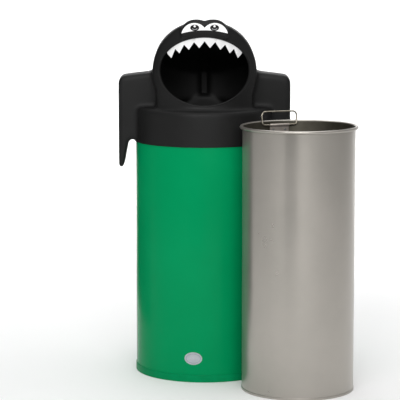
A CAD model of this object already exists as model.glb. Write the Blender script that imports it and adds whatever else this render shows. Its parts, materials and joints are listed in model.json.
"""Street litter bin with an animal-head hood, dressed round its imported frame.

The frame gives every place and size in metres, with +Z up and the mouth towards -Y. Each
sub-assembly below is a class that models its own pieces and dresses the frame's nodes.
"""

from __future__ import annotations

import json
import logging
import math
from dataclasses import dataclass
from enum import Enum
from typing import Iterable, Sequence

import bmesh
import bpy
from mathutils import Matrix, Vector


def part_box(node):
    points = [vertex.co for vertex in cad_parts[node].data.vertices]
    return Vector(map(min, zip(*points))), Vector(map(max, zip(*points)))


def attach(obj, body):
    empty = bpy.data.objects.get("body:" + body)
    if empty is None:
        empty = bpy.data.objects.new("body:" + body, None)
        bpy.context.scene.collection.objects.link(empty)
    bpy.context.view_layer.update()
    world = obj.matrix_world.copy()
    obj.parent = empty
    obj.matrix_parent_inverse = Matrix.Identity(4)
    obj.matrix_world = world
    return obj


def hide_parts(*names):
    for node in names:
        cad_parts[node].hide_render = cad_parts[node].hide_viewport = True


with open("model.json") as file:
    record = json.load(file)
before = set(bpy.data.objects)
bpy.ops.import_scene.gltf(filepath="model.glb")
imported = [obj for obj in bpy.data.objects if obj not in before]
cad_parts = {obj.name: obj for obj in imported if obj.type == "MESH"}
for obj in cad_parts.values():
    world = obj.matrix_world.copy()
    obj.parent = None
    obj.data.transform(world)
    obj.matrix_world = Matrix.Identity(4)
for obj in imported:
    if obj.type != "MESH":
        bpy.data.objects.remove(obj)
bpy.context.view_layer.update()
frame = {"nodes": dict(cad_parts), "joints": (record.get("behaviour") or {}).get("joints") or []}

LOG = logging.getLogger("litter_bin")
MM = 0.001
# Steps round a full turn, and the angle past which an edge is shaded sharp.
ROUND_STEPS = 192
SHARP_ANGLE = math.radians(32)
# Points nearer than this are one point.
WELD = 0.01 * MM
# How far a cutting tool runs past what it cuts.
REACH = 0.3
# Part of a noise's range that a finish's two colours are spread over.
CLOUD_RANGE = (0.3, 0.7)

Point2 = tuple[float, float]
Socket = bpy.types.NodeSocket
Links = dict[str, Socket]


class Body(str, Enum):
    """Bodies of the frame that a piece may ride on."""

    CAN = "body"
    HOOD = "hood"
    LINER = "liner"
    REAR_HANDLE = "rear_handle"
    FRONT_HANDLE = "front_handle"


# ------------------------------------------------------------------ finishes


def linear(hex_colour: str) -> tuple[float, float, float, float]:
    """Turns an sRGB colour into Blender's linear one.

    Args:
        hex_colour: six hexadecimal digits, such as "2B2C2D".

    Returns:
        Linear red, green and blue, with an alpha of 1.
    """
    values = [int(hex_colour[i : i + 2], 16) / 255 for i in (0, 2, 4)]
    straight = [v / 12.92 if v <= 0.04045 else ((v + 0.055) / 1.055) ** 2.4 for v in values]
    return (straight[0], straight[1], straight[2], 1.0)


def add_node(
    tree: bpy.types.NodeTree, kind: str, settings: dict | None = None, links: Links | None = None
) -> bpy.types.Node:
    """Adds a shader node.

    Args:
        tree: the material's node tree.
        kind: the node's type, without the ShaderNode prefix.
        settings: attributes and unlinked input values, by name.
        links: output sockets to plug into the node's inputs, by input name.

    Returns:
        The new node.
    """
    node = tree.nodes.new("ShaderNode" + kind)
    for name, value in (settings or {}).items():
        if name in node.inputs:
            node.inputs[name].default_value = value
        else:
            setattr(node, name, value)
    for name, socket in (links or {}).items():
        tree.links.new(socket, node.inputs[name])
    return node


@dataclass(frozen=True)
class Finish:
    """A surface finish: its name, colours, gloss and relief.

    Attributes:
        name: the real material and how its surface was made.
        colour: main sRGB colour.
        shade: second sRGB colour, mixed in by the mottling.
        roughness: lowest and highest roughness.
        metallic: 1 for bare metal and 0 for anything else.
        ior: index of refraction of a material that isn't metal.
        mottle_mm: size of the mottling.
        grain_mm: size of the surface grain; fine grains are drawn coarse enough to show.
        grain_depth: height of the grain, in millimetres.
        coat: weight of a clear glossy layer.
        coat_roughness: roughness of that layer.
        specular: strength of the reflection seen head on; 0.5 is what the index gives.
    """

    name: str
    colour: str
    shade: str
    roughness: tuple[float, float] = (0.4, 0.5)
    metallic: float = 0.0
    ior: float = 1.5
    mottle_mm: float = 60.0
    grain_mm: float = 2.0
    grain_depth: float = 0.02
    coat: float = 0.0
    coat_roughness: float = 0.1
    specular: float = 0.5

    def mottling(self, tree: bpy.types.NodeTree, place: Socket) -> Socket:
        """Cloudy variation that mixes the two colours and moves the gloss.

        Args:
            tree: the material's node tree.
            place: object coordinates in metres.

        Returns:
            A socket from 0 to 1.
        """
        noise = add_node(
            tree,
            "TexNoise",
            {"Scale": 1 / (self.mottle_mm * MM), "Detail": 4.0, "Roughness": 0.55},
            {"Vector": place},
        )
        return noise.outputs["Fac"]

    def grain(self, tree: bpy.types.NodeTree, place: Socket) -> Socket:
        """Height of the fine surface grain.

        Args:
            tree: the material's node tree.
            place: object coordinates in metres.

        Returns:
            A socket from 0 to 1.
        """
        noise = add_node(
            tree,
            "TexNoise",
            {"Scale": 1 / (self.grain_mm * MM), "Detail": 2.0, "Roughness": 0.6},
            {"Vector": place},
        )
        return noise.outputs["Fac"]

    def material(self) -> bpy.types.Material:
        """Builds the finish, or returns the one that was built before."""
        known = bpy.data.materials.get(self.name)
        if known:
            return known
        made = bpy.data.materials.new(self.name)
        made.use_nodes = True
        tree = made.node_tree
        tree.nodes.clear()
        place = add_node(tree, "TexCoord").outputs["Object"]
        cloud = self.mottling(tree, place)
        start, end = CLOUD_RANGE
        tint = add_node(tree, "ValToRGB", links={"Fac": cloud})
        stops = ((start, self.shade), (end, self.colour))
        for point, (spot, colour) in zip(tint.color_ramp.elements, stops):
            point.position = spot
            point.color = linear(colour)
        low, high = self.roughness
        gloss = add_node(
            tree,
            "MapRange",
            {"From Min": start, "From Max": end, "To Min": low, "To Max": high},
            {"Value": cloud},
        )
        relief = add_node(
            tree,
            "Bump",
            {"Strength": 1.0, "Distance": self.grain_depth * MM},
            {"Height": self.grain(tree, place)},
        )
        shader = add_node(
            tree,
            "BsdfPrincipled",
            {
                "Metallic": self.metallic,
                "IOR": self.ior,
                "Specular IOR Level": self.specular,
                "Coat Weight": self.coat,
                "Coat Roughness": self.coat_roughness,
            },
            {
                "Base Color": tint.outputs["Color"],
                "Roughness": gloss.outputs["Result"],
                "Normal": relief.outputs["Normal"],
            },
        )
        add_node(tree, "OutputMaterial", links={"Surface": shader.outputs["BSDF"]})
        return made


@dataclass(frozen=True)
class Galvanised(Finish):
    """Hot dip galvanised sheet, whose zinc crystals show as faint patches of different grey.

    Attributes:
        spangle_mm: size of a zinc crystal, drawn coarse enough to show.
        spangle: how much the crystals differ.
    """

    spangle_mm: float = 24.0
    spangle: float = 0.015

    def mottling(self, tree: bpy.types.NodeTree, place: Socket) -> Socket:
        """Zinc crystals over a slow drift along the rolling direction.

        Args:
            tree: the material's node tree.
            place: object coordinates in metres.

        Returns:
            A socket from 0 to 1.
        """
        crystals = add_node(
            tree,
            "TexVoronoi",
            {"Scale": 1 / (self.spangle_mm * MM), "Randomness": 1.0},
            {"Vector": place},
        )
        patch = add_node(tree, "RGBToBW", links={"Color": crystals.outputs["Color"]})
        drift = super().mottling(tree, place)
        blend = add_node(
            tree,
            "MapRange",
            {"From Min": 0.0, "From Max": 1.0, "To Min": -self.spangle, "To Max": self.spangle},
            {"Value": patch.outputs["Val"]},
        )
        total = add_node(tree, "Math", {"operation": "ADD"})
        tree.links.new(drift, total.inputs[0])
        tree.links.new(blend.outputs["Result"], total.inputs[1])
        return total.outputs["Value"]


# Polyester powder coat, sprayed and baked: an even, glossy colour with a faint orange peel.
POWDER_GREEN = Finish(
    "powder coated steel, green", "008A54", "008550", (0.20, 0.26), grain_mm=4, grain_depth=0.006,
    specular=0.05, mottle_mm=220,
)
# The same coat on the foot ring, scuffed duller where it meets the ground.
POWDER_FOOT = Finish(
    "powder coated steel foot, green", "008552", "007B4A", (0.30, 0.42), grain_mm=3,
    grain_depth=0.01, specular=0.05, mottle_mm=40,
)
# Polyethylene moulded in a blasted mould: black with a satin bloom and a fine pebbled grain.
MOULDED_BLACK = Finish(
    "rotomoulded polyethylene, black", "191919", "161616", (0.46, 0.58), grain_mm=2.4,
    grain_depth=0.05, specular=0.18, mottle_mm=90,
)
# PVC foam sheet, routed to shape: a flat, slightly satin white.
TOOTH_WHITE = Finish(
    "white plastic sheet, routed", "EDEDED", "E4E4E4", (0.35, 0.45), grain_mm=1.5,
    grain_depth=0.01, mottle_mm=30,
)
# Cast vinyl film: smooth and glossy.
FILM_WHITE = Finish(
    "white vinyl film", "FAFAFA", "F5F5F5", (0.25, 0.3), grain_mm=3, grain_depth=0.003
)
FILM_BLACK = Finish(
    "black vinyl film", "0B0B0C", "070708", (0.22, 0.28), grain_mm=3, grain_depth=0.003
)
IRIS_GREY = Finish(
    "grey vinyl film", "9A9A9C", "8E8E90", (0.25, 0.3), grain_mm=3, grain_depth=0.003
)
# Galvanised sheet, passivated: dull grey metal that blurs reflections into broad bands.
ZINC_SHEET = Galvanised(
    "galvanised steel sheet", "B0ABA4", "A6A29B", (0.27, 0.31), metallic=0.8, mottle_mm=260,
    grain_mm=60, grain_depth=0.01, specular=0.2,
)
# The same sheet inside, dulled and stained by litter.
ZINC_INSIDE = Galvanised(
    "galvanised steel sheet, stained", "57544B", "45423A", (0.42, 0.55), metallic=0.8, mottle_mm=50,
    grain_mm=2.5, grain_depth=0.03, specular=0.2,
)
# The clips, cut from brighter sheet.
ZINC_CLIP = Galvanised(
    "galvanised steel clip", "B9B0A8", "A39A92", (0.30, 0.40), metallic=0.6, mottle_mm=20,
    spangle_mm=5,
    grain_mm=1.8, grain_depth=0.015, specular=0.3,
)
# Drawn wire, dip galvanised: brighter than the sheet, with small runs.
ZINC_WIRE = Finish(
    "galvanised steel wire", "B9B3A6", "948C7C", (0.28, 0.42), metallic=1.0, mottle_mm=12,
    grain_mm=2, grain_depth=0.03,
)
# Bright zinc plating on small steel parts.
ZINC_PLATE = Finish(
    "zinc plated steel", "C6C8CA", "B4B6B8", (0.25, 0.35), metallic=1.0, mottle_mm=25,
    grain_mm=1.5, grain_depth=0.01,
)
# Turned brass, left bare.
BRASS = Finish(
    "turned brass", "C9A55C", "B58F48", (0.25, 0.35), metallic=1.0, mottle_mm=8, grain_mm=1
)
# Anodised aluminium foil label, satin.
LABEL_FOIL = Finish(
    "anodised aluminium label", "B8BCC2", "A8ACB2", (0.35, 0.45), metallic=0.5,
    mottle_mm=15, grain_mm=1,
)
LABEL_INK = Finish("grey screen ink", "7D8790", "747E87", (0.4, 0.5), mottle_mm=10, grain_mm=1)
# Studio: a matt painted floor, and felt that soaks up light.
FLOOR_PAINT = Finish(
    "pale matt floor", "F4F4F4", "F2F2F2", (0.85, 0.95), grain_mm=40, grain_depth=0.0,
    specular=0.1, mottle_mm=900,
)
BLACK_FELT = Finish(
    "black felt", "0A0A0A", "080808", (0.9, 1.0), grain_mm=20, grain_depth=0.0, specular=0.1
)


# ------------------------------------------------------------------ modelling


def arc(centre: Point2, radius: float, start: float, end: float, steps: int = 8) -> list[Point2]:
    """Points of a circular arc.

    Args:
        centre: the arc's centre.
        radius: its radius.
        start: first angle, in degrees.
        end: last angle, in degrees.
        steps: number of straight steps.

    Returns:
        The points from start to end.
    """
    angles = [math.radians(start + (end - start) * i / steps) for i in range(steps + 1)]
    return [(centre[0] + radius * math.cos(a), centre[1] + radius * math.sin(a)) for a in angles]


def lathe(profile: Sequence[Point2], centre: Vector, closed: bool = True) -> bmesh.types.BMesh:
    """Spins a profile of radius and height about a vertical axis.

    Args:
        profile: radius and height of each point, in metres.
        centre: a point on the axis.
        closed: whether the profile's last point joins its first.

    Returns:
        The turned mesh, with its faces pointing outwards.
    """
    bm = bmesh.new()
    verts = [bm.verts.new((centre.x + r, centre.y, z)) for r, z in profile]
    ring = zip(verts, verts[1:] + verts[:1]) if closed else zip(verts, verts[1:])
    edges = [bm.edges.new(pair) for pair in ring]
    bmesh.ops.spin(
        bm,
        geom=verts + edges,
        cent=centre,
        axis=(0, 0, 1),
        angle=math.tau,
        steps=ROUND_STEPS,
        use_merge=True,
    )
    bmesh.ops.remove_doubles(bm, verts=bm.verts, dist=WELD)
    bmesh.ops.recalc_face_normals(bm, faces=bm.faces)
    return bm


def slab(outline: Sequence[Point2], near: float, far: float) -> bmesh.types.BMesh:
    """Extrudes an outline in X and Z along Y.

    Args:
        outline: the X and Z of each corner.
        near: lowest Y.
        far: highest Y.

    Returns:
        The closed slab.
    """
    bm = bmesh.new()
    face = bm.faces.new([bm.verts.new((x, near, z)) for x, z in outline])
    grown = bmesh.ops.extrude_face_region(bm, geom=[face])
    moved = [v for v in grown["geom"] if isinstance(v, bmesh.types.BMVert)]
    bmesh.ops.translate(bm, verts=moved, vec=(0, far - near, 0))
    bmesh.ops.recalc_face_normals(bm, faces=bm.faces)
    return bm


def rod(
    radius: float, start: Vector, end: Vector, segments: int = ROUND_STEPS
) -> bmesh.types.BMesh:
    """A closed cylinder between two points.

    Args:
        radius: the rod's radius.
        start: centre of one end.
        end: centre of the other end.
        segments: number of sides.

    Returns:
        The rod.
    """
    bm = bmesh.new()
    along = end - start
    turn = along.to_track_quat("Z", "Y").to_matrix().to_4x4()
    place = Matrix.Translation((start + end) / 2) @ turn
    bmesh.ops.create_cone(
        bm,
        cap_ends=True,
        segments=segments,
        radius1=radius,
        radius2=radius,
        depth=along.length,
        matrix=place,
    )
    return bm


def block(low: Sequence[float], high: Sequence[float]) -> bmesh.types.BMesh:
    """A box between two corners."""
    bm = bmesh.new()
    size = [h - l for l, h in zip(low, high)]
    middle = Vector([(l + h) / 2 for l, h in zip(low, high)])
    place = Matrix.Translation(middle) @ Matrix.Diagonal((*size, 1))
    bmesh.ops.create_cube(bm, size=1.0, matrix=place)
    return bm


def soften(bm: bmesh.types.BMesh, width: float, segments: int = 3, angle: float = 40) -> None:
    """Rounds every edge that is sharper than an angle.

    Args:
        bm: the mesh to round.
        width: width of the rounding, in metres.
        segments: number of faces across it.
        angle: smallest angle that counts as an edge, in degrees.
    """
    sharp = [e for e in bm.edges if e.is_manifold and e.calc_face_angle() > math.radians(angle)]
    bmesh.ops.bevel(
        bm, geom=sharp, offset=width, offset_type="OFFSET", segments=segments, profile=0.5,
        affect="EDGES", material=-1, clamp_overlap=True,
    )


def as_object(name: str, bm: bmesh.types.BMesh, smooth: bool = True) -> bpy.types.Object:
    """Turns a bmesh into an object at the origin, shaded smooth between its sharp edges."""
    mesh = bpy.data.meshes.new(name)
    bm.to_mesh(mesh)
    bm.free()
    if smooth:
        mesh.shade_smooth()
        mesh.set_sharp_from_angle(angle=SHARP_ANGLE)
    made = bpy.data.objects.new(name, mesh)
    bpy.context.scene.collection.objects.link(made)
    return made


def merged(parts: Iterable[bmesh.types.BMesh]) -> bmesh.types.BMesh:
    """Puts several meshes into one, and frees them."""
    whole = bmesh.new()
    for part in parts:
        held = bpy.data.meshes.new("held")
        part.to_mesh(held)
        part.free()
        whole.from_mesh(held)
        bpy.data.meshes.remove(held)
    return whole


def shaped(bm: bmesh.types.BMesh, *changes: tuple[str, dict]) -> bmesh.types.BMesh:
    """Runs modifiers on a mesh and returns the result.

    Args:
        bm: the mesh, which is freed.
        changes: pairs of a modifier's type and its settings; a bmesh among the settings is
            used as an object and freed afterwards.

    Returns:
        The changed mesh.
    """
    body = as_object("shaping", bm, smooth=False)
    tools = []
    for kind, settings in changes:
        modifier = body.modifiers.new(kind.lower(), kind)
        for name, value in settings.items():
            if isinstance(value, bmesh.types.BMesh):
                value = as_object("cutter", value, smooth=False)
                tools.append(value)
            setattr(modifier, name, value)
    graph = bpy.context.evaluated_depsgraph_get()
    result = bmesh.new()
    result.from_mesh(bpy.data.meshes.new_from_object(body.evaluated_get(graph)))
    for spent in [body, *tools]:
        mesh = spent.data
        bpy.data.objects.remove(spent)
        bpy.data.meshes.remove(mesh)
    return result


def cut(kind: str, tool: bmesh.types.BMesh) -> tuple[str, dict]:
    """Settings of a boolean: kind is DIFFERENCE or INTERSECT."""
    return "BOOLEAN", {"operation": kind, "solver": "EXACT", "object": tool}


def piece(
    name: str,
    bm: bmesh.types.BMesh,
    finish: Finish,
    body: Body,
    stands_for: Sequence[str] = (),
) -> bpy.types.Object:
    """Finishes a modelled piece and hangs it on its body.

    Args:
        name: the piece's name.
        bm: its mesh, in metres in the frame.
        finish: its material.
        body: the body that carries it.
        stands_for: frame nodes that it is shown in place of.

    Returns:
        The piece's object.
    """
    made = as_object(name, bm)
    made.data.materials.clear()
    made.data.materials.append(finish.material())
    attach(made, body.value)
    if stands_for:
        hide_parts(*stands_for)
    LOG.info("%s rides on %s, %d faces", name, body.value, len(made.data.polygons))
    return made


def wire_mesh(points: Sequence[Vector], radius: float, sides: int = 5) -> bmesh.types.BMesh:
    """A round wire along a closed path.

    Args:
        points: centres along the wire; the last joins the first.
        radius: the wire's radius.
        sides: resolution of its section, per quarter.

    Returns:
        The wire's mesh.
    """
    curve = bpy.data.curves.new("wire", "CURVE")
    curve.dimensions = "3D"
    curve.bevel_depth = radius
    curve.bevel_resolution = sides
    spline = curve.splines.new("POLY")
    spline.points.add(len(points) - 1)
    for spot, point in zip(spline.points, points):
        spot.co = (*point, 1.0)
    spline.use_cyclic_u = True
    holder = bpy.data.objects.new("wire", curve)
    bpy.context.scene.collection.objects.link(holder)
    graph = bpy.context.evaluated_depsgraph_get()
    bm = bmesh.new()
    bm.from_mesh(bpy.data.meshes.new_from_object(holder.evaluated_get(graph)))
    bpy.data.objects.remove(holder)
    bpy.data.curves.remove(curve)
    bmesh.ops.remove_doubles(bm, verts=bm.verts, dist=WELD)
    bmesh.ops.recalc_face_normals(bm, faces=bm.faces)
    return bm


def dress(node: str, finish: Finish, edge_mm: float = 0.0) -> None:
    """Gives a frame node its material, and rounds its edges if asked.

    Args:
        node: the node's name.
        finish: its material.
        edge_mm: width of the rounding on its edges, in millimetres; 0 leaves them.
    """
    target = frame["nodes"][node]
    target.data.materials.clear()
    target.data.materials.append(finish.material())
    if edge_mm:
        weld = target.modifiers.new("weld", "WELD")
        weld.merge_threshold = WELD / 2
        bevel = target.modifiers.new("edge", "BEVEL")
        bevel.width = edge_mm * MM
        bevel.segments = 2
        bevel.limit_method = "ANGLE"
        bevel.angle_limit = math.radians(35)
    LOG.info("%s dressed in %s", node, finish.name)


def joint_place(name: str) -> Vector:
    """A point on the axis of one of the frame's joints."""
    found = next(j for j in frame["joints"] if j["name"] == name)
    return Vector(found["pos_m"])


# ------------------------------------------------------------------ body


@dataclass
class PaintedBody:
    """Rolled body, foot ring and what is fixed inside them.

    Attributes:
        sheet: thickness of the body sheet.
        hem: radius of the folded edge at the top.
        seam_w: width of the lap seam at the back.
        seam_t: height of the lap seam.
        seam_gap: space between the lap seam's ends and the body's.
        foot_gap: space between the body and the foot ring.
        foot_r: rounding of the foot ring.
        label_rim: how far the label's blanks start in front of the body.
    """

    sheet: float = 2.0 * MM
    hem: float = 0.9 * MM
    seam_w: float = 14 * MM
    seam_t: float = 0.8 * MM
    seam_gap: float = 2 * MM
    foot_gap: float = 0.05 * MM
    foot_r: float = 0.8 * MM
    label_rim: float = 1.0 * MM

    def build(self) -> None:
        """Models and dresses the whole body."""
        self.shell()
        self.seam()
        self.foot()
        self.label()
        for node in ("base_plate", "top_ring"):
            dress(node, POWDER_FOOT, 0.5)
        for node in ("anchor_washers", "liner_guides", "lock_catch", "tongue_keepers"):
            dress(node, ZINC_PLATE, 0.3)

    def shell(self) -> None:
        """The painted cylinder, with rounded sheet edges."""
        low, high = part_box("body_shell")
        outer = high.x
        inner = outer - self.sheet
        r = self.hem
        profile = (
            arc((outer - r, high.z - r), r, 0, 90, 4)
            + arc((inner + r, high.z - r), r, 90, 180, 4)
            + arc((inner + r, low.z + r), r, 180, 270, 4)
            + arc((outer - r, low.z + r), r, 270, 360, 4)
        )
        shell = lathe(profile, Vector())
        piece("painted_body", shell, POWDER_GREEN, Body.CAN, ["body_shell"])

    def seam(self) -> None:
        """The lap seam where the rolled sheet meets itself, at the back."""
        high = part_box("body_shell")[1]
        low_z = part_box("foot_ring")[1].z + self.seam_gap
        half = math.asin(self.seam_w / 2 / high.x)
        outer = high.x + self.seam_t
        steps = 6
        ring = [(math.pi / 2 - half + 2 * half * i / steps) for i in range(steps + 1)]
        sides = ((high.x - self.seam_t, ring), (outer, ring[::-1]))
        bm = bmesh.new()
        face = bm.faces.new(
            [
                bm.verts.new((r * math.cos(a), r * math.sin(a), low_z))
                for r, angles in sides
                for a in angles
            ]
        )
        grown = bmesh.ops.extrude_face_region(bm, geom=[face])
        tops = [v for v in grown["geom"] if isinstance(v, bmesh.types.BMVert)]
        bmesh.ops.translate(bm, verts=tops, vec=(0, 0, high.z - self.seam_gap - low_z))
        bmesh.ops.recalc_face_normals(bm, faces=bm.faces)
        soften(bm, 0.3 * MM, 2, 50)
        piece("body_seam", bm, POWDER_GREEN, Body.CAN)

    def foot(self) -> None:
        """The foot ring, with its top edge rolled over."""
        low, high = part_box("foot_ring")
        outer = high.x
        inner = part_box("body_shell")[1].x + self.foot_gap
        r = self.foot_r
        profile = (
            arc((outer - r, high.z - r), r, 0, 90, 4)
            + [(inner, high.z), (inner, low.z)]
            + arc((outer - r, low.z + r), r, 270, 360, 4)
        )
        band = lathe(profile, Vector())
        piece("foot_band", band, POWDER_FOOT, Body.CAN, ["foot_ring"])

    def label(self) -> None:
        """A blank oval label with a raised border and two plain ink lines."""
        low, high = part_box("label_plate")
        middle = (low + high) / 2
        half = Vector(((high.x - low.x) / 2, 0, (high.z - low.z) / 2))
        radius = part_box("body_shell")[1].x
        behind = rod(radius - 0.5 * MM, Vector((0, 0, -0.1)), Vector((0, 0, 0.4)))
        # How far each blank is set in from the edge and stands proud of the body.
        plates = (
            (0.0, 0.5 * MM, LABEL_FOIL, "label_foil", ["label_plate"]),
            (5.0 * MM, 0.7 * MM, LABEL_INK, "label_line", []),
            (6.2 * MM, 0.9 * MM, LABEL_FOIL, "label_face", []),
        )
        for inset, proud, finish, name, stands_for in plates:
            oval = [
                (
                    middle.x + (half.x - inset) * math.cos(a),
                    middle.z + (half.z - inset) * math.sin(a),
                )
                for a in (math.tau * i / 64 for i in range(64))
            ]
            blank = slab(oval, -radius - self.label_rim, -radius * 0.9)
            face = rod(radius + proud, Vector(), Vector((0, 0, REACH)))
            bm = shaped(blank, cut("INTERSECT", face), cut("DIFFERENCE", behind.copy()))
            piece(name, bm, finish, Body.CAN, stands_for)
        behind.free()


# ------------------------------------------------------------------ hood


@dataclass
class Hood:
    """The moulded hood: one skin with soft creases, cut open at its mouth and foot.

    Attributes:
        wall: thickness of the skin.
        voxel: size of the mesh that the soft skin is drawn with.
        softness: number of smoothing passes over the creases.
        ledge: width of the ledge between the skirt and the head's front wall.
        head_r: radius of the head's rounded top.
        dome_r: radius of the dome that lowers the head towards the back.
        neck_half: half the width across the neck.
        head_rise: height of the head's centre above the skirt's foot.
        skirt_h: height of the skirt.
        mouth_half: half the width and half the height of the mouth.
        mouth_lift: height of the mouth's centre above the head's centre.
        arm_half: half the depth of the arms.
        arm_w: width of an arm at its root.
        tip_r: radius of an arm's tip.
        arm_drop: how far the arms hang below the skirt's foot.
        shoulder_rise: height of the shoulder's outer end above the skirt's foot.
        shoulder_slope: slope of the shoulder's top, in degrees.
        mound_r: radius of an eye mound.
        mound_x: sideways place of a mound's centre.
        mound_rise: height of a mound's centre above the head's centre.
        mound_over: how far the mounds stand out of the dome.
        spine_half: half the width of the rib down the back.
        spine_over: how far the rib stands out of the dome.
        lip_r: radius of the bead round the mouth.
        recess_half: half the width of the lock's recess.
        recess_neck: half its width at its top, and its depth in front of the lock.
        spigot_fit: the spigot's distance inside the body, and how far it reaches up and down.
    """

    wall: float = 5 * MM
    voxel: float = 4.6 * MM
    softness: int = 8
    ledge: float = 24.5 * MM
    head_r: float = 172 * MM
    dome_r: float = 600 * MM
    neck_half: float = 157 * MM
    head_rise: float = 237 * MM
    skirt_h: float = 116 * MM
    mouth_half: tuple[float, float] = (148 * MM, 111.5 * MM)
    mouth_lift: float = 8 * MM
    arm_half: float = 59 * MM
    arm_w: float = 31 * MM
    tip_r: float = 9 * MM
    arm_drop: float = 86 * MM
    shoulder_rise: float = 221 * MM
    shoulder_slope: float = 7.0
    mound_r: float = 50 * MM
    mound_x: float = 28 * MM
    mound_rise: float = 128 * MM
    mound_over: float = 6.5 * MM
    spine_half: float = 16 * MM
    spine_over: float = 14 * MM
    lip_r: float = 3.4 * MM
    recess_half: float = 90 * MM
    recess_neck: tuple[float, float] = (18 * MM, 3 * MM)
    spigot_fit: tuple[float, float, float] = (3.5 * MM, 12 * MM, 22 * MM)

    def __post_init__(self) -> None:
        """Takes the hood's driving places from the frame."""
        low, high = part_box("hood_shell")
        self.out = high.x
        self.skirt_r = -low.y
        self.foot_z = low.z + self.arm_drop
        self.skirt_top = self.foot_z + self.skirt_h
        self.neck_r = self.skirt_r - self.ledge
        self.head_z = self.foot_z + self.head_rise
        self.mouth_z = self.head_z + self.mouth_lift
        self.mound_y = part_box("eye_film")[1].y
        self.arm_in = self.out - self.arm_w

    def build(self) -> None:
        """Models the skin, its lip and its spigot."""
        piece("moulded_hood", self.skin(), MOULDED_BLACK, Body.HOOD, ["hood_shell"])
        self.lip()
        self.spigot()
        self.pads()

    def oval(self, grow: float = 0.0, steps: int = 128) -> list[Point2]:
        """Points of the mouth's outline in X and Z, moved out by grow."""
        wide, tall = (half + grow for half in self.mouth_half)
        turns = (math.tau * i / steps for i in range(steps))
        return [(wide * math.cos(a), self.mouth_z + tall * math.sin(a)) for a in turns]

    def shoulders(self) -> bmesh.types.BMesh:
        """Both shoulders and arms, as one slab across the neck."""
        corner_r = 23 * MM
        arch_r = 14 * MM
        corner = (self.out - corner_r, self.foot_z + self.shoulder_rise - corner_r)
        rise = math.tan(math.radians(self.shoulder_slope)) * (self.out - corner_r)
        tip = (self.out - self.tip_r, self.foot_z - self.arm_drop + self.tip_r)
        arch_z = self.foot_z + 8 * MM
        half = (
            arc(corner, corner_r, 90 - self.shoulder_slope, 0)
            + arc(tip, self.tip_r, 0, -170, 12)
            + arc((self.arm_in - arch_r, arch_z - arch_r), arch_r, 0, 90)
        )
        other = [(-x, z) for x, z in reversed(half)]
        peak = [(0.0, self.foot_z + self.shoulder_rise + rise)]
        bm = slab(peak + half + other, -self.arm_half, self.arm_half)
        soften(bm, 9 * MM, 3, 60)
        return bm

    def head(self) -> bmesh.types.BMesh:
        """Head and neck: an arch run front to back, turned round at the front and domed behind."""
        arch = arc((0.0, self.head_z), self.head_r, -24, 204, 64)
        foot = self.skirt_top - 40 * MM
        bend = self.head_z - 60 * MM
        outline = [(-self.neck_half, foot), (self.neck_half, foot), (self.neck_half, bend)]
        outline += arch + [(-self.neck_half, bend)]
        bm = slab(outline, -self.skirt_r, self.skirt_r)
        below = Vector((0, 0, foot - 20 * MM))
        front = rod(self.neck_r, below, Vector((0, 0, self.head_z + REACH)))
        return shaped(bm, cut("INTERSECT", front), cut("INTERSECT", self.dome(0.0)))

    def dome(self, over: float) -> bmesh.types.BMesh:
        """Ball whose top lowers the head towards the back, grown by over."""
        lead = 30 * MM
        drop = math.sqrt(self.dome_r**2 - lead**2)
        ball = bmesh.new()
        middle = (0, -self.neck_r - lead, self.head_z + self.head_r - drop)
        bmesh.ops.create_uvsphere(
            ball,
            u_segments=256,
            v_segments=160,
            radius=self.dome_r + over,
            matrix=Matrix.Translation(middle),
        )
        return ball

    def mounds(self) -> list[bmesh.types.BMesh]:
        """Two round eye mounds, cut off above the upper lip."""
        made = []
        for side in (-1, 1):
            x, z = side * self.mound_x, self.head_z + self.mound_rise
            near = Vector((x, self.mound_y, z))
            far = Vector((x, -self.neck_r * 0.72, z))
            round_off = cut("INTERSECT", self.dome(self.mound_over))
            upper_lip = cut("DIFFERENCE", slab(self.oval(9 * MM), -REACH, 0.0))
            mound = shaped(rod(self.mound_r, near, far, 96), round_off)
            made.append(shaped(mound, upper_lip))
        return made

    def skirt(self) -> bmesh.types.BMesh:
        """The skirt, run past its foot so that the foot can be cut clean."""
        r = 12 * MM
        profile = (
            [(0.0, self.foot_z - 30 * MM), (self.skirt_r, self.foot_z - 30 * MM)]
            + arc((self.skirt_r - r, self.skirt_top - r), r, 0, 90)
            + [(0.0, self.skirt_top)]
        )
        return lathe(profile, Vector(), closed=False)

    def spine(self) -> bmesh.types.BMesh:
        """The hollow rib down the back of the head."""
        low = (-self.spine_half, 0, self.skirt_top + 10 * MM)
        high = (self.spine_half, self.neck_r + self.spine_over, self.head_z + 120 * MM)
        return shaped(block(low, high), cut("INTERSECT", self.dome(self.spine_over)))

    def recess(self) -> bmesh.types.BMesh:
        """What is cut out of the back for the lock."""
        neck, sunk = self.recess_neck
        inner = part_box("lock_barrel")[1].y - sunk
        low = self.foot_z + 17 * MM
        bend = self.foot_z + 95 * MM
        top = self.skirt_top + 18 * MM
        half = [(self.recess_half, low), (self.recess_half, bend), (neck, top)]
        outline = [(-self.recess_half, low), *half, (-neck, top), (-self.recess_half, bend)]
        return slab(outline, inner, self.skirt_r + 50 * MM)

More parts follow.
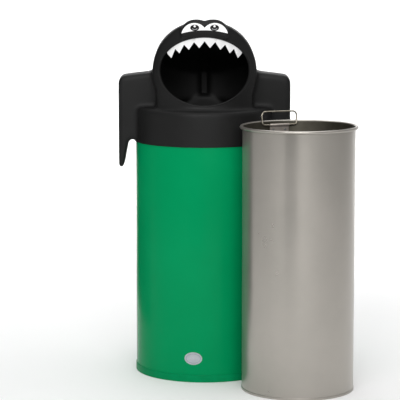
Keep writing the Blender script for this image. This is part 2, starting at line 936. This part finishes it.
    def skin(self) -> bmesh.types.BMesh:
        """Joins the solids, softens them, opens the foot and the mouth, and gives the wall."""
        parts = [self.skirt(), self.head(), self.shoulders(), self.spine(), *self.mounds()]
        melt = ("REMESH", {"mode": "VOXEL", "voxel_size": self.voxel})
        bm = shaped(merged(parts), melt)
        bm = shaped(bm, cut("DIFFERENCE", self.recess()), melt)
        for _ in range(self.softness):
            bmesh.ops.smooth_vert(
                bm,
                verts=bm.verts,
                factor=0.5,
                use_axis_x=True,
                use_axis_y=True,
                use_axis_z=True,
            )
        below = Vector((0, 0, self.foot_z - 60 * MM))
        foot = rod(self.skirt_r + 10 * MM, below, Vector((0, 0, self.foot_z)))
        bm = shaped(bm, cut("DIFFERENCE", foot))
        bm = shaped(bm, cut("DIFFERENCE", slab(self.oval(), -REACH, -0.12)))
        self.open_faces(bm)
        bmesh.ops.remove_doubles(bm, verts=bm.verts, dist=0.05 * MM)
        inwards = {"thickness": self.wall, "offset": -1.0, "use_even_offset": True}
        return shaped(bm, ("SOLIDIFY", inwards))

    def open_faces(self, bm: bmesh.types.BMesh) -> None:
        """Deletes the disc left at the foot and the pocket left in the mouth."""
        wide, tall = self.mouth_half
        spare = []
        for face in bm.faces:
            middle = face.calc_center_median()
            inside = math.hypot(middle.x / wide, (middle.z - self.mouth_z) / tall)
            at_foot = abs(middle.z - self.foot_z) < 0.05 * MM and face.normal.z < -0.9
            if at_foot or (inside < 1.0004 and middle.y < -0.1):
                spare.append(face)
        bmesh.ops.delete(bm, geom=spare, context="FACES")

    def lip(self) -> None:
        """The rolled bead round the mouth."""
        front = self.neck_r - self.wall / 2
        edge = self.oval(2.0 * MM, 160)
        path = [Vector((x, -math.sqrt(front * front - x * x), z)) for x, z in edge]
        bead = wire_mesh(path, self.lip_r)
        piece("mouth_lip", bead, MOULDED_BLACK, Body.HOOD)

    def spigot(self) -> None:
        """The ring below the skirt that drops inside the body."""
        inset, up, down = self.spigot_fit
        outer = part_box("body_shell")[1].x - inset
        inner = outer - self.wall
        top = self.foot_z + up
        bottom = self.foot_z - down
        r = 2 * MM
        profile = (
            [(outer, top), (inner, top)]
            + arc((inner + r, bottom + r), r, 180, 270, 4)
            + arc((outer - r, bottom + r), r, 270, 360, 4)
        )
        ring = lathe(profile, Vector())
        piece("hood_spigot", ring, MOULDED_BLACK, Body.HOOD)

    def pads(self) -> None:
        """The moulded blocks behind the front tongues."""
        low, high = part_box("hood_tongues")
        foot, top = Vector((0, 0, self.foot_z)), Vector((0, 0, self.skirt_top))
        for side, name in ((-1, "left_tongue_pad"), (1, "right_tongue_pad")):
            near, far = sorted((side * (high.x - 26 * MM), side * (high.x + 2 * MM)))
            bm = block((near, -self.skirt_r, self.foot_z + 19 * MM), (far, low.y, high.z))
            soften(bm, 2 * MM, 3)
            bm = shaped(bm, cut("INTERSECT", rod(self.skirt_r - 2 * MM, foot, top)))
            piece(name, bm, MOULDED_BLACK, Body.HOOD)


@dataclass
class Face:
    """Teeth and eyes, with the fastenings of the hood.

    Attributes:
        pupil_ratio: width of a pupil over its height.
    """

    pupil_ratio: float = 1.45

    def build(self) -> None:
        """Dresses the nodes of the face and the hood's fastenings."""
        dress("teeth_plate", TOOTH_WHITE, 0.5)
        for node, film in (
            ("eye_film", FILM_WHITE), ("pupils", FILM_BLACK), ("eye_glints", FILM_WHITE)
        ):
            dress(node, film, 0.2)
        self.irises()
        for node in ("teeth_screws", "hood_tongues", "tongue_screws"):
            dress(node, ZINC_PLATE, 0.3)
        for node in ("tongue_inserts", "lock_nut"):
            dress(node, BRASS, 0.2)
        for node in ("lock_barrel", "lock_plug", "lock_cam", "cam_screw"):
            dress(node, ZINC_PLATE, 0.3)

    def irises(self) -> None:
        """A thin grey arc inside the lower half of each pupil."""
        low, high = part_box("pupils")
        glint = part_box("eye_glints")[0].y
        tall = high.z - low.z
        wide = tall * self.pupil_ratio
        middle_z = (low.z + high.z) / 2
        for side, name in ((-1, "left_iris"), (1, "right_iris")):
            x = side * ((high.x - low.x) - wide) / 2
            outline = []
            for share, turns in ((0.66, range(200, 341, 10)), (0.46, range(340, 199, -10))):
                for a in map(math.radians, turns):
                    across = share * wide / 2 * math.cos(a)
                    outline.append((x + across, middle_z + share * tall / 2 * math.sin(a)))
            bm = slab(outline, glint, low.y + 0.1 * MM)
            piece(name, bm, IRIS_GREY, Body.HOOD)


# ------------------------------------------------------------------ liner


@dataclass
class Liner:
    """The galvanised liner, its clips and its two wire handles.

    Attributes:
        sheet: thickness of the sheet.
        curl_r: radius of the rolled rim.
        wire_r: radius of the handle wire.
        handle_h: height of a handle above its pivot.
        foot: half the straight run through the clip, and its bend's radius.
        grip: half the straight run of the grip, and its bend's radius.
        lean: angle by which a raised handle leans on the rim, in degrees.
        fold: angle through which a handle folds, in degrees.
    """

    sheet: float = 1.2 * MM
    curl_r: float = 5 * MM
    wire_r: float = 2.5 * MM
    handle_h: float = 44 * MM
    foot: tuple[float, float] = (52 * MM, 8 * MM)
    grip: tuple[float, float] = (47.5 * MM, 14 * MM)
    lean: float = 8.0
    fold: float = 180.0

    def __post_init__(self) -> None:
        """Takes the liner's place from the frame."""
        low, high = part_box("liner_wall")
        self.centre = Vector(((low.x + high.x) / 2, (low.y + high.y) / 2, 0))
        self.rim_r = (high.x - low.x) / 2
        self.wall_r = self.rim_r - 2 * self.curl_r + self.sheet
        self.low_z = low.z
        self.top_z = high.z

    def build(self) -> None:
        """Models the liner and its handles, and dresses the rest."""
        self.wall()
        self.bottom()
        self.seam()
        self.handle("rear", Body.REAR_HANDLE, -self.lean)
        self.handle("front", Body.FRONT_HANDLE, self.fold - self.lean)
        dress("rim_wire", ZINC_WIRE)
        for node in ("rear_clip", "front_clip"):
            dress(node, ZINC_CLIP, 0.3)
        dress("clip_rivets", ZINC_PLATE, 0.3)

    def wall(self) -> None:
        """The rolled wall, with its top edge curled round the rim wire."""
        rim = (self.rim_r - self.curl_r, self.top_z - self.curl_r)
        inner = self.wall_r - self.sheet
        curl_out = arc(rim, self.curl_r, 180, -150, 20)
        curl_in = arc(rim, self.curl_r - self.sheet, -150, 180, 20)
        profile = [(inner, self.low_z)] + curl_out + curl_in[:-1]
        profile += [(self.wall_r, rim[1] - 3 * MM), (self.wall_r, self.low_z)]
        bm = lathe(profile, self.centre)
        wall = piece("galvanised_liner", bm, ZINC_SHEET, Body.LINER, ["liner_wall"])
        wall.data.materials.append(ZINC_INSIDE.material())
        for face in wall.data.polygons:
            spoke = (face.center - self.centre).to_2d()
            within = spoke.length < self.wall_r - 0.6 * self.sheet
            if within and face.normal.to_2d().dot(spoke) < 0:
                face.material_index = 1

    def bottom(self) -> None:
        """The pressed bottom and its chime."""
        low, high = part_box("liner_bottom")
        outer = (high.x - low.x) / 2
        floor = high.z - 3 * self.sheet
        r = 1.5 * MM
        profile = (
            [(0.0, floor), (outer - 6 * MM, floor)]
            + [(outer - 5 * MM, high.z - 0.5 * MM)]
            + arc((outer - r, high.z - r), r, 90, 0, 4)
            + arc((outer - r, low.z + r), r, 0, -90, 4)
            + [(outer - 4 * MM, low.z), (outer - 4 * MM, floor - self.sheet)]
            + [(0.0, floor - self.sheet)]
        )
        bm = lathe(profile, self.centre, closed=False)
        piece("liner_base", bm, ZINC_SHEET, Body.LINER, ["liner_bottom"])

    def seam(self) -> None:
        """The folded seam down the wall, on the side away from the front."""
        where = math.radians(115)
        out = Vector((math.cos(where), math.sin(where), 0))
        side = Vector((-out.y, out.x, 0))
        at = self.centre + out * (self.wall_r + 0.3 * MM)
        turn = Matrix((side, out, Vector((0, 0, 1)))).transposed().to_4x4()
        low = (-4 * MM, -0.7 * MM, self.low_z + 2 * MM)
        bm = block(low, (4 * MM, 0.7 * MM, self.top_z - 12 * MM))
        soften(bm, 0.5 * MM, 2)
        bmesh.ops.transform(bm, matrix=Matrix.Translation(at) @ turn, verts=bm.verts)
        bmesh.ops.recalc_face_normals(bm, faces=bm.faces)
        piece("liner_seam", bm, ZINC_SHEET, Body.LINER)

    def loop(self) -> list[Point2]:
        """Centre line of a handle, standing on its pivot: one side's bends, then the other's."""
        (foot_x, foot_r), (grip_x, grip_r) = self.foot, self.grip
        run = Vector((grip_x - foot_x, self.handle_h - grip_r - foot_r))
        turn = math.degrees(math.atan2(run.y, run.x) - math.acos((foot_r - grip_r) / run.length))
        half = arc((foot_x, foot_r), foot_r, -90, turn, 8)
        half += arc((grip_x, self.handle_h - grip_r), grip_r, turn, 90, 12)
        return half + [(-x, z) for x, z in reversed(half)]

    def handle(self, end: str, body: Body, tilt: float) -> None:
        """Models one wire handle in its rest pose.

        Args:
            end: the side that it stands on, rear or front.
            body: the body that it rides on, which has its node's name.
            tilt: its angle about the pivot, inwards from upright, in degrees.
        """
        pivot = joint_place(f"{body.value}_swing")
        out = (pivot - self.centre).to_2d().normalized()
        spin = math.atan2(out.y, out.x) - math.pi / 2
        turn = Matrix.Rotation(spin, 4, "Z") @ Matrix.Rotation(math.radians(tilt), 4, "X")
        place = Matrix.Translation(pivot) @ turn
        path = [place @ Vector((x, 0, z)) for x, z in self.loop()]
        wire = wire_mesh(path, self.wire_r)
        piece(f"{end}_wire_handle", wire, ZINC_WIRE, body, [body.value])


# ------------------------------------------------------------------ studio


@dataclass
class Studio:
    """Pale floor and backdrop, soft lights, two dark flags and the camera.

    Attributes:
        eye: place of the camera.
        pitch: angle of the camera above straight down, in degrees.
        lens: focal length, in millimetres on a 36 mm sensor.
        surround: strength of the white surround.
    """

    eye: tuple[float, float, float] = (-14.93 * MM, -6562.5 * MM, 1503 * MM)
    pitch: float = 81.958
    lens: float = 176.75
    surround: float = 0.3

    def build(self) -> None:
        """Sets the stage."""
        self.camera()
        self.sweep()
        self.world()
        self.flag("front_flag", (-0.69, -3.45, 1.0), -17.5, (1.5, 2.0))
        self.flag("left_flag", (-0.8, 0.65, 1.0), 90, (1.3, 2.0))
        self.light("key_light", (-1.5, -5.2, 3.4), (0.0, -0.2, 0.8), (2.6, 2.4), 110)
        self.light("fill_light", (0.6, -5.6, 3.2), (0.1, -0.2, 0.7), (2.6, 2.4), 140)
        self.light("top_light", (0.2, 0.4, 4.4), (0.1, 0.2, 0.0), (5.0, 4.0), 110)
        self.light("backdrop_light", (0.0, 4.4, 4.2), (0.0, 7.6, 0.3), (7.0, 2.0), 420)

    def camera(self) -> None:
        """The camera, level from side to side."""
        data = bpy.data.cameras.new("camera")
        data.sensor_width = 36.0
        data.lens = self.lens
        made = bpy.data.objects.new("camera", data)
        made.location = self.eye
        made.rotation_euler = (math.radians(self.pitch), 0, 0)
        bpy.context.scene.collection.objects.link(made)
        bpy.context.scene.camera = made

    def sweep(self) -> None:
        """A pale floor that curves up into a backdrop behind the bin."""
        curve = arc((7.8, 1.6), 1.6, -90, 0, 24)
        bm = bmesh.new()
        half = 9.0
        line = [bm.verts.new((-half, y, z)) for y, z in [(-14.0, 0.0), *curve, (9.4, 7.0)]]
        edges = [bm.edges.new(pair) for pair in zip(line, line[1:])]
        grown = bmesh.ops.extrude_edge_only(bm, edges=edges)
        moved = [v for v in grown["geom"] if isinstance(v, bmesh.types.BMVert)]
        bmesh.ops.translate(bm, verts=moved, vec=(2 * half, 0, 0))
        made = as_object("studio_sweep", bm)
        made.data.materials.append(FLOOR_PAINT.material())

    def flag(self, name: str, place: Sequence[float], turn: float, size: Point2) -> None:
        """A dark panel out of the view, which only reflections show.

        Args:
            name: the panel's name.
            place: its centre.
            turn: its turn about the vertical from facing the front, in degrees.
            size: its width and height.
        """
        bm = bmesh.new()
        bmesh.ops.create_grid(bm, x_segments=2, y_segments=2, size=0.5)
        upright = Matrix.Rotation(math.radians(90), 4, "X")
        stand = Matrix.Rotation(math.radians(turn), 4, "Z") @ upright
        spot = Matrix.Translation(place) @ stand @ Matrix.Diagonal((*size, 1, 1))
        bmesh.ops.transform(bm, matrix=spot, verts=bm.verts)
        made = as_object(name, bm, smooth=False)
        made.data.materials.append(BLACK_FELT.material())
        made.visible_camera = False
        made.visible_shadow = False
        made.visible_diffuse = False

    def world(self) -> None:
        """An even white surround."""
        world = bpy.data.worlds.new("white surround")
        world.use_nodes = True
        back = world.node_tree.nodes["Background"]
        back.inputs["Color"].default_value = linear("FFFFFF")
        back.inputs["Strength"].default_value = self.surround
        bpy.context.scene.world = world
        bpy.context.scene.view_settings.view_transform = "Standard"

    def light(
        self, name: str, place: Sequence[float], target: Sequence[float], size: Point2, watts: float
    ) -> None:
        """Adds a soft rectangular light.

        Args:
            name: the light's name.
            place: where it hangs.
            target: the point that it faces.
            size: its width and height.
            watts: its power.
        """
        data = bpy.data.lights.new(name, "AREA")
        data.shape = "RECTANGLE"
        data.size, data.size_y = size
        data.energy = watts
        made = bpy.data.objects.new(name, data)
        made.location = place
        made.rotation_euler = (Vector(target) - Vector(place)).to_track_quat("-Z", "Y").to_euler()
        bpy.context.scene.collection.objects.link(made)


def main() -> None:
    """Builds the stage and every sub-assembly in order."""
    logging.basicConfig(level=logging.INFO, format="%(message)s")
    Studio().build()
    PaintedBody().build()
    Hood().build()
    Face().build()
    Liner().build()


if __name__ == "__main__":
    main()
